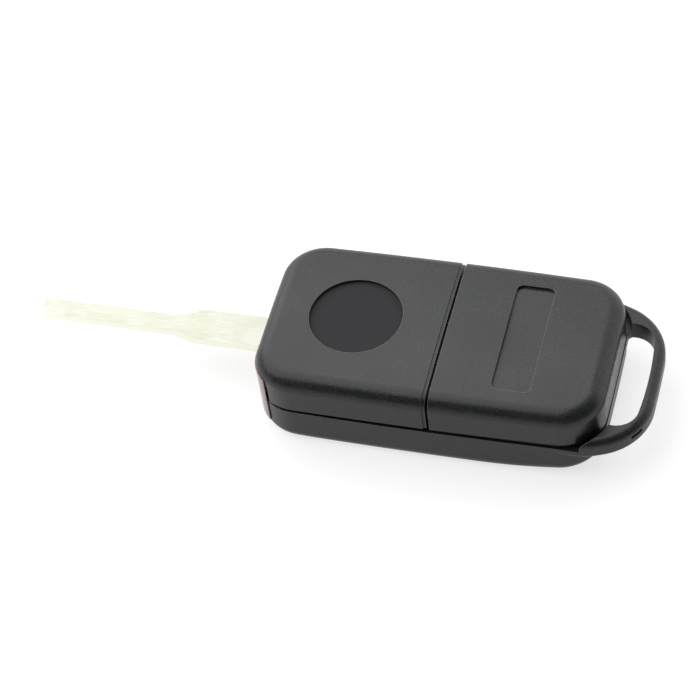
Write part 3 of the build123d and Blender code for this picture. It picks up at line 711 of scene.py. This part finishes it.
def setBackRim(bm):
    plan = rebatePlan
    slope = (plan["tailHeight"] - plan["noseHeight"]) * mm / (tailX - noseX)
    across = Vector((-slope, 0, 1)).normalized()
    slack = plan["cutSlack"] * mm
    for drop in (0.0, plan["ledge"]):
        start = Vector((noseX, 0, (plan["noseHeight"] - drop) * mm))
        every = [*bm.verts, *bm.edges, *bm.faces]
        bmesh.ops.bisect_plane(bm, geom=every, dist=slack, plane_co=start, plane_no=across)
    bm.normal_update()
    moves = {}
    for face in outerWall(bm):
        for vert in face.verts:
            moves.setdefault(vert, Vector()).xy += face.normal.xy
    for vert, outward in moves.items():
        x = vert.co.x
        top = (plan["noseHeight"] - plan["ledge"] / 2) * mm + slope * (x - noseX)
        if vert.co.z < top:
            fade = fadeBetween(x, *plan["fadeNose"]) * fadeBetween(x, *plan["fadeTail"])
            vert.co -= outward.normalized() * plan["depth"] * fade * mm


# The step's end is drawn back, so that the seam reads as wide as it is in the photograph
seamPlan = {"from": 1.2, "to": 1.0, "slack": 0.02, "above": 8.0}


def widenSeam(bm):
    for vert in bm.verts:
        atStep = abs(vert.co.x / mm - seamPlan["from"]) < seamPlan["slack"]
        if atStep and vert.co.z > seamPlan["above"] * mm:
            vert.co.x = seamPlan["to"] * mm


# A rib end that fills the seam's step is taken off; the step's floor and riser close over it
stepNub = {
    "x": (0.37, 0.9),
    "y": (6.8, 7.6),
    "above": 17.5,
    "floor": 17.3,
    "slack": 0.02,
    "cutSlack": 0.001,
}


def clearNub(bm):
    slack = stepNub["slack"]
    riserX = stepNub["x"][0] * mm
    middleY = sum(stepNub["y"]) / 2 * mm

    def within(vert, lowest):
        x, y, z = vert.co / mm
        inX = stepNub["x"][0] - slack < x < stepNub["x"][1] + slack
        inY = stepNub["y"][0] - slack < y < stepNub["y"][1] + slack
        return inX and inY and z > lowest

    def downAndUp(vert):
        far = vert.co.y > middleY
        return far, vert.co.z if far else -vert.co.z

    top = [face for face in bm.faces if any(within(vert, stepNub["above"]) for vert in face.verts)]
    parts = dict.fromkeys(top)
    for face in top:
        parts.update(dict.fromkeys([*face.verts, *face.edges]))
    start, across = Vector((riserX, 0, 0)), Vector((1, 0, 0))
    cutSlack = stepNub["cutSlack"] * mm
    bmesh.ops.bisect_plane(bm, geom=list(parts), dist=cutSlack, plane_co=start, plane_no=across)
    lowest = stepNub["floor"]
    doomed = [face for face in bm.faces if all(within(vert, lowest) for vert in face.verts)]
    bmesh.ops.delete(bm, geom=doomed, context="FACES")
    corners = {}
    for edge in bm.edges:
        if edge.is_boundary:
            for vert in edge.verts:
                corners[vert] = None
    riser = [vert for vert in corners if abs(vert.co.x - riserX) < slack * mm]
    riser.sort(key=downAndUp)
    floor = [vert for vert in corners if vert.co.z < stepNub["above"] * mm]
    centre = sum((vert.co for vert in floor), Vector()) / len(floor)
    floor.sort(key=lambda vert: (vert.co - centre).xy.angle_signed(Vector((0, 1))))
    bm.faces.new(riser)
    bm.faces.new(floor)
    print("nub: faces off", len(doomed), "riser corners", len(riser), "floor corners", len(floor))


def makeCovers():
    for nodeName, material, body in (
        ("upper_cover", coverPlastic, "housing"),
        ("battery_cover", shellPlastic, "battery_cover"),
    ):
        bm = mergedCopy(nodeName)
        setBackRim(bm)
        if nodeName == "upper_cover":
            clearNub(bm)
            widenSeam(bm)
        bmesh.ops.triangulate(bm, faces=[face for face in bm.faces if len(face.verts) > 4])
        bmesh.ops.recalc_face_normals(bm, faces=bm.faces)
        print(nodeName, "open edges:", sum(1 for edge in bm.edges if not edge.is_manifold))
        mesh = meshFrom(bm, nodeName + "Skin")
        keepShading(mesh, nodeName)
        name = nodeName.replace("_c", "C") + "Piece"
        addPiece(name, mesh, material, body, nodeName)


makeCovers()
print("covers made")

# A lip under the upper cover's end laps below the battery cover, so that no light passes the seam
lipPlan = {
    "profile": [(-0.6, 15.4), (2.3, 15.4), (2.3, 15.7), (0.85, 15.7), (0.85, 16.0), (-0.6, 16.0)],
    "halfLength": 14.6,
}


def makeLip():
    bm = bmesh.new()
    rows = []
    for side in (-1, 1):
        y = side * lipPlan["halfLength"] * mm
        rows.append([bm.verts.new((x * mm, y, z * mm)) for x, z in lipPlan["profile"]])
    near, far = rows
    bm.faces.new(near)
    bm.faces.new(far[::-1])
    for index in range(len(near)):
        bm.faces.new((near[index - 1], far[index - 1], far[index], near[index]))
    bmesh.ops.recalc_face_normals(bm, faces=bm.faces)
    addPiece("seamLip", meshFrom(bm, "seamLip"), shellPlastic, "housing", None)


makeLip()
print("lip made")


def makeCoil():
    mesh = meshFrom(mergedCopy("flip_spring"), "flipSpringCoil")
    keepShading(mesh, "flip_spring")
    coil = addPiece("flipSpringCoil", mesh, springSteel, "blade", "flip_spring")
    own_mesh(coil)


makeCoil()
print("coil made")


def newGeometryTree(name, inputs):
    tree = bpy.data.node_groups.new(name, "GeometryNodeTree")
    tree.interface.new_socket(name="Geometry", in_out="INPUT", socket_type="NodeSocketGeometry")
    for label, value in inputs.items():
        kind = "NodeSocketInt" if isinstance(value, int) else "NodeSocketFloat"
        socket = tree.interface.new_socket(name=label, in_out="INPUT", socket_type=kind)
        socket.default_value = value
    tree.interface.new_socket(name="Finish", in_out="INPUT", socket_type="NodeSocketMaterial")
    tree.interface.new_socket(name="Geometry", in_out="OUTPUT", socket_type="NodeSocketGeometry")
    given = tree.nodes.new("NodeGroupInput").outputs
    made = tree.nodes.new("NodeGroupOutput").inputs
    return tree, given, made


# Every tree ends in Realize Instances and Set Material
def closeTree(tree, geometry, given, made):
    real = addNode(tree, "GeometryNodeRealizeInstances", Geometry=geometry)
    dressed = addNode(tree, "GeometryNodeSetMaterial", Geometry=real.outputs[0])
    tree.links.new(given["Finish"], dressed.inputs["Material"])
    tree.links.new(dressed.outputs[0], made["Geometry"])


def runTree(name, startMesh, tree, values, material):
    carrier = link(bpy.data.objects.new(name, startMesh))
    modifier = carrier.modifiers.new("nodes", "NODES")
    modifier.node_group = tree
    values = dict(values, Finish=material)
    for item in tree.interface.items_tree:
        if item.in_out == "INPUT" and item.name in values:
            modifier[item.identifier] = values[item.name]
    evaluated = carrier.evaluated_get(bpy.context.evaluated_depsgraph_get())
    mesh = bpy.data.meshes.new_from_object(evaluated)
    bpy.data.objects.remove(carrier)
    mesh.name = name
    return mesh


def raised(tree, geometry, height):
    offset = addNode(tree, "ShaderNodeCombineXYZ", Z=height).outputs[0]
    return addNode(tree, "GeometryNodeTransform", Geometry=geometry, Translation=offset).outputs[0]


def linkAll(tree, socket, *parts):
    for part in parts:
        tree.links.new(part, socket)


def sweepCircle(tree, path, radius, sides):
    profile = addNode(tree, "GeometryNodeCurvePrimitiveCircle", Resolution=sides, Radius=radius)
    swept = addNode(tree, "GeometryNodeCurveToMesh", Curve=path, Fill_Caps=True)
    tree.links.new(profile.outputs["Curve"], swept.inputs["Profile Curve"])
    return swept.outputs[0]


# Case screws: one per starting point, a domed head with a cross recess and a threaded shank
screwPlan = {
    "Head Radius": 1.6 * mm,
    "Head Height": 1.0 * mm,
    "Core Radius": 0.6 * mm,
    "Thread Width": 0.19 * mm,
    "Shank Length": 7.4 * mm,
    "Pitch": 0.85 * mm,
    "Recess Reach": 2.0 * mm,
    "Recess Width": 0.36 * mm,
    "Recess Depth": 0.6 * mm,
    "Seed": 7,
}
# Shares of the sizes above, and how finely the screw is made
screwShape = {
    "rim": 0.55,
    "domeTop": 0.72,
    "core": 0.9,
    "tipEnd": 0.3,
    "thread": 0.9,
    "threadDrop": -0.97,
    "headSides": 48,
    "shankSides": 32,
    "threadSides": 4,
    "turnSteps": 28,
}


def screwBody(tree, given):
    shape = screwShape
    headSides, shankSides = shape["headSides"], shape["shankSides"]
    radius, height, length = given["Head Radius"], given["Head Height"], given["Shank Length"]
    coreRadius = given["Core Radius"]
    rimHeight = times(tree, height, shape["rim"])
    domeHeight = calc(tree, "SUBTRACT", height, rimHeight)
    coreLength = times(tree, length, shape["core"])
    tipLength = calc(tree, "SUBTRACT", length, coreLength)
    rim = addNode(tree, "GeometryNodeMeshCylinder", Vertices=headSides, Radius=radius)
    tree.links.new(rimHeight, rim.inputs["Depth"])
    dome = addNode(tree, "GeometryNodeMeshCone", Vertices=headSides, Depth=domeHeight)
    tree.links.new(radius, dome.inputs["Radius Bottom"])
    tree.links.new(times(tree, radius, shape["domeTop"]), dome.inputs["Radius Top"])
    core = addNode(tree, "GeometryNodeMeshCylinder", Vertices=shankSides, Radius=coreRadius)
    tree.links.new(coreLength, core.inputs["Depth"])
    tip = addNode(tree, "GeometryNodeMeshCone", Vertices=shankSides, Depth=tipLength)
    tree.links.new(coreRadius, tip.inputs["Radius Top"])
    tree.links.new(times(tree, coreRadius, shape["tipEnd"]), tip.inputs["Radius Bottom"])
    body = addNode(tree, "GeometryNodeMeshBoolean", {"operation": "UNION"})
    parts = (
        raised(tree, tip.outputs["Mesh"], times(tree, length, -1.0)),
        raised(tree, core.outputs["Mesh"], times(tree, coreLength, -0.5)),
        raised(tree, dome.outputs["Mesh"], rimHeight),
        raised(tree, rim.outputs["Mesh"], times(tree, rimHeight, 0.5)),
    )
    linkAll(tree, body.inputs["Mesh 2"], *parts)
    return body.outputs["Mesh"], coreLength


def crossRecess(tree, given, body):
    height, reach, width = given["Head Height"], given["Recess Reach"], given["Recess Width"]
    floor = calc(tree, "SUBTRACT", height, given["Recess Depth"])
    barHeight = times(tree, height, 2.0)
    bars = []
    for across, along in ((reach, width), (width, reach)):
        size = addNode(tree, "ShaderNodeCombineXYZ", X=across, Y=along, Z=barHeight)
        bar = addNode(tree, "GeometryNodeMeshCube", Size=size.outputs[0])
        bars.append(raised(tree, bar.outputs["Mesh"], calc(tree, "ADD", floor, height)))
    recess = addNode(tree, "GeometryNodeMeshBoolean", {"operation": "DIFFERENCE"}, Mesh_1=body)
    linkAll(tree, recess.inputs["Mesh 2"], *bars)
    return recess.outputs["Mesh"]


def screwThread(tree, given, coreLength):
    shape = screwShape
    length = times(tree, coreLength, shape["thread"])
    turns = calc(tree, "DIVIDE", length, given["Pitch"])
    helix = addNode(tree, "GeometryNodeCurveSpiral", Rotations=turns, Height=length)
    helix.inputs["Resolution"].default_value = shape["turnSteps"]
    tree.links.new(given["Core Radius"], helix.inputs["Start Radius"])
    tree.links.new(given["Core Radius"], helix.inputs["End Radius"])
    upright = addNode(tree, "GeometryNodeSetCurveNormal", {"mode": "Z_UP"}, Curve=helix.outputs[0])
    thread = sweepCircle(tree, upright.outputs[0], given["Thread Width"], shape["threadSides"])
    return raised(tree, thread, times(tree, coreLength, shape["threadDrop"]))


def makeScrewTree():
    tree, given, made = newGeometryTree("caseScrewRow", screwPlan)
    body, coreLength = screwBody(tree, given)
    screw = tree.nodes.new("GeometryNodeJoinGeometry")
    thread = screwThread(tree, given, coreLength)
    linkAll(tree, screw.inputs[0], thread, crossRecess(tree, given, body))
    row = addNode(tree, "GeometryNodeInstanceOnPoints", Points=given["Geometry"])
    tree.links.new(screw.outputs[0], row.inputs["Instance"])
    turn = addNode(tree, "FunctionNodeRandomValue", {"data_type": "FLOAT"}, Seed=given["Seed"])
    turn.inputs[3].default_value = 2 * pi  # each screw stops at its own angle
    turned = addNode(tree, "ShaderNodeCombineXYZ", Z=turn.outputs[1])
    tree.links.new(turned.outputs[0], row.inputs["Rotation"])
    closeTree(tree, row.outputs[0], given, made)
    return tree


def makeScrews():
    low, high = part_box("case_screws")
    inset = screwPlan["Head Radius"]
    seat = high.z - screwPlan["Head Height"]
    places = [(low.x + inset, y, seat) for y in (low.y + inset, high.y - inset)]
    start = bpy.data.meshes.new("screwPlaces")
    start.from_pydata(places, [], [])
    mesh = runTree("caseScrewsPiece", start, makeScrewTree(), screwPlan, screwSteel)
    addPiece("caseScrewsPiece", mesh, screwSteel, "housing", "case_screws")


makeScrews()
print("screws made")

# Generic raised signs on the three buttons: a shut padlock, an open padlock and an open boot
signPlan = {"bead": 0.2, "sides": 10, "rise": 0.13, "scale": 1.0}


def arcPoints(centre, radius, start, end, steps=16):
    points = []
    for step in range(steps + 1):
        angle = radians(start + (end - start) * step / steps)
        points.append((centre[0] + radius * cos(angle), centre[1] + radius * sin(angle)))
    return points


def roundedBox(halfWidth, top, bottom, radius, steps=4):
    x = halfWidth - radius
    low, high = bottom + radius, top - radius
    points = []
    for quarter, centre in enumerate(((x, high), (-x, high), (-x, low), (x, low))):
        points += arcPoints(centre, radius, 90 * quarter, 90 * (quarter + 1), steps)
    return points


lockBody = roundedBox(1.7, 0.0, -2.4, 0.3)
keyhole = [(0.0, -0.95), (0.0, -1.5)]
shutShackle = [(1.1, 0.0)] + arcPoints((0.0, 0.9), 1.1, 0, 180) + [(-1.1, 0.0)]
openShackle = arcPoints((0.0, 1.5), 1.1, 0, 180) + [(-1.1, 0.0)]
carBody = [(-2.9, -0.9), (-2.9, 0.0), (-1.9, 0.2), (-1.0, 1.2), (0.8, 1.2), (1.5, 0.2)]
carBody += [(2.7, 0.1), (2.9, -0.9)]
carLid = [(1.5, 0.75), (2.6, 1.9), (3.0, 1.6)]
frontWheel, rearWheel = [arcPoints((x, -0.95), 0.5, 0, 337.5, 15) for x in (-1.6, 1.6)]
sills = [[(-2.9, -0.9), (-2.1, -0.9)], [(-1.1, -0.9), (1.1, -0.9)], [(2.1, -0.9), (2.9, -0.9)]]
# The strokes of each sign; True marks those that close on themselves
signs = {
    "lock_button": [(lockBody, True), (keyhole, False), (shutShackle, False)],
    "unlock_button": [(lockBody, True), (keyhole, False), (openShackle, False)],
    "trunk_button": [(carBody, False), (carLid, False), (frontWheel, True), (rearWheel, True)],
}
signs["trunk_button"] += [(sill, False) for sill in sills]


def makeBeadTree(inputs):
    tree, given, made = newGeometryTree("beadLines", inputs)
    path = addNode(tree, "GeometryNodeMeshToCurve", Mesh=given["Geometry"]).outputs[0]
    bead = sweepCircle(tree, path, given["Bead Radius"], given["Sides"])
    closeTree(tree, bead, given, made)
    return tree


def signPath(nodeName, strokes):
    low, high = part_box(nodeName)
    middle = (low + high) / 2
    depth = low.z + (signPlan["bead"] - signPlan["rise"]) * mm
    scale = signPlan["scale"] * mm
    points, edges = [], []
    for stroke, closed in strokes:
        first = len(points)
        for across, upward in stroke:
            points.append((middle.x - across * scale, middle.y + upward * scale, depth))
        edges += [(index, index + 1) for index in range(first, len(points) - 1)]
        if closed:
            edges.append((len(points) - 1, first))
    path = bpy.data.meshes.new("signPath")
    path.from_pydata(points, edges, [])
    return path


def makeSigns():
    inputs = {"Bead Radius": signPlan["bead"] * mm, "Sides": signPlan["sides"]}
    tree = makeBeadTree(inputs)
    for nodeName, strokes in signs.items():
        name = nodeName.replace("_button", "Sign")
        mesh = runTree(name, signPath(nodeName, strokes), tree, inputs, signRubber)
        mesh.shade_smooth()
        addPiece(name, mesh, signRubber, nodeName, None)


makeSigns()
print("signs made")

# The paper floor is brighter to the camera and in reflections than in the light that it gives
floorLook = {
    "size": 4.0,
    "level": -0.04,
    "colour": (0.36, 0.36, 0.36),
    "roughness": 0.8,
    "specular": 0.1,
    "glow": 0.72,
}
white = (1, 1, 1, 1)


def makeFloor():
    mesh = bpy.data.meshes.new("floor")
    half = floorLook["size"] / 2
    level = floorLook["level"] * mm
    corners = [(half * x, half * y, level) for x, y in ((-1, -1), (1, -1), (1, 1), (-1, 1))]
    mesh.from_pydata(corners, [], [(0, 1, 2, 3)])
    floor = link(bpy.data.objects.new("floor", mesh))
    material, tree, shader, place = newMaterial("floorPaper")
    shader.inputs["Base Color"].default_value = (*floorLook["colour"], 1)
    shader.inputs["Roughness"].default_value = floorLook["roughness"]
    shader.inputs["Specular IOR Level"].default_value = floorLook["specular"]
    path = tree.nodes.new("ShaderNodeLightPath")
    seen = calc(tree, "MAXIMUM", path.outputs["Is Camera Ray"], path.outputs["Is Glossy Ray"])
    seen = calc(tree, "MAXIMUM", seen, path.outputs["Is Transmission Ray"])
    shader.inputs["Emission Color"].default_value = white
    tree.links.new(times(tree, seen, floorLook["glow"]), shader.inputs["Emission Strength"])
    mesh.materials.append(material)


makeFloor()

# A white room that is bright low down behind the part and dim on the camera's side
roomLook = {
    "towards": (0.1, 0.95, -0.25),
    "dim": 0.12,
    "bright": 1.4,
    "fadeFrom": 0.0,
    "fadeTo": 0.5,
    "seen": 1.0,
}


def makeRoom():
    world = bpy.data.worlds.new("studio")
    scene.world = world
    world.use_nodes = True
    tree = world.node_tree
    around = tree.nodes.new("ShaderNodeTexCoord").outputs["Generated"]
    along = dot(tree, around, roomLook["towards"])
    fade = addNode(tree, "ShaderNodeMapRange", {"interpolation_type": "SMOOTHSTEP"}, Value=along)
    fade.inputs["From Min"].default_value = roomLook["fadeFrom"]
    fade.inputs["From Max"].default_value = roomLook["fadeTo"]
    fade.inputs["To Min"].default_value = roomLook["dim"]
    fade.inputs["To Max"].default_value = roomLook["bright"]
    direct = tree.nodes.new("ShaderNodeLightPath").outputs["Is Camera Ray"]
    background = tree.nodes["Background"]
    strength = mixValue(tree, direct, fade.outputs["Result"], roomLook["seen"])
    tree.links.new(strength, background.inputs["Strength"])
    background.inputs["Color"].default_value = white


makeRoom()

lampPlan = {
    "target": (0.0, 0.0, 0.01),
    "direction": (-0.55, 0.13, 0.9),
    "distance": 0.7,
    "size": (1.05, 1.15),
    "radiance": 2.1,
}


def makeLamp():
    light = bpy.data.lights.new("overheadBox", "AREA")
    light.shape = "RECTANGLE"
    width, length = lampPlan["size"]
    light.size, light.size_y = width, length
    light.energy = lampPlan["radiance"] * pi * width * length
    lamp = link(bpy.data.objects.new("overheadBox", light))
    target = Vector(lampPlan["target"])
    lamp.location = target + Vector(lampPlan["direction"]).normalized() * lampPlan["distance"]
    lamp.rotation_mode = "QUATERNION"
    lamp.rotation_quaternion = (target - lamp.location).to_track_quat("-Z", "Y")


makeLamp()

# The camera as fitted to the photograph: angles in degrees, focal length in pixels
cameraPlan = {
    "azimuth": 21.033,
    "elevation": 50.371,
    "roll": -8.935,
    "distance": 0.515218,
    "target": (-0.020406, 0.005382, 0.0),
    "focalPixels": 2652.2,
    "photoWidth": 700,
    "sensor": 36,
    "clip": (0.01, 10),
}


def makeCamera():
    plan = cameraPlan
    data = bpy.data.cameras.new("camera")
    data.lens = plan["focalPixels"] / plan["photoWidth"] * plan["sensor"]
    data.sensor_width = plan["sensor"]
    data.clip_start, data.clip_end = plan["clip"]
    camera = link(bpy.data.objects.new("camera", data))
    azimuth, elevation, roll = [radians(plan[key]) for key in ("azimuth", "elevation", "roll")]
    across = cos(elevation)
    back = Vector((sin(azimuth) * across, -cos(azimuth) * across, sin(elevation)))
    right = (-back).cross(Vector((0, 0, 1))).normalized()
    up = right.cross(-back)
    rightTurned = right * cos(roll) + up * sin(roll)
    upTurned = up * cos(roll) - right * sin(roll)
    camera.rotation_mode = "QUATERNION"
    camera.rotation_quaternion = Matrix((rightTurned, upTurned, back)).transposed().to_quaternion()
    camera.location = Vector(plan["target"]) + back * plan["distance"]
    scene.camera = camera


makeCamera()
print("stage and camera made")
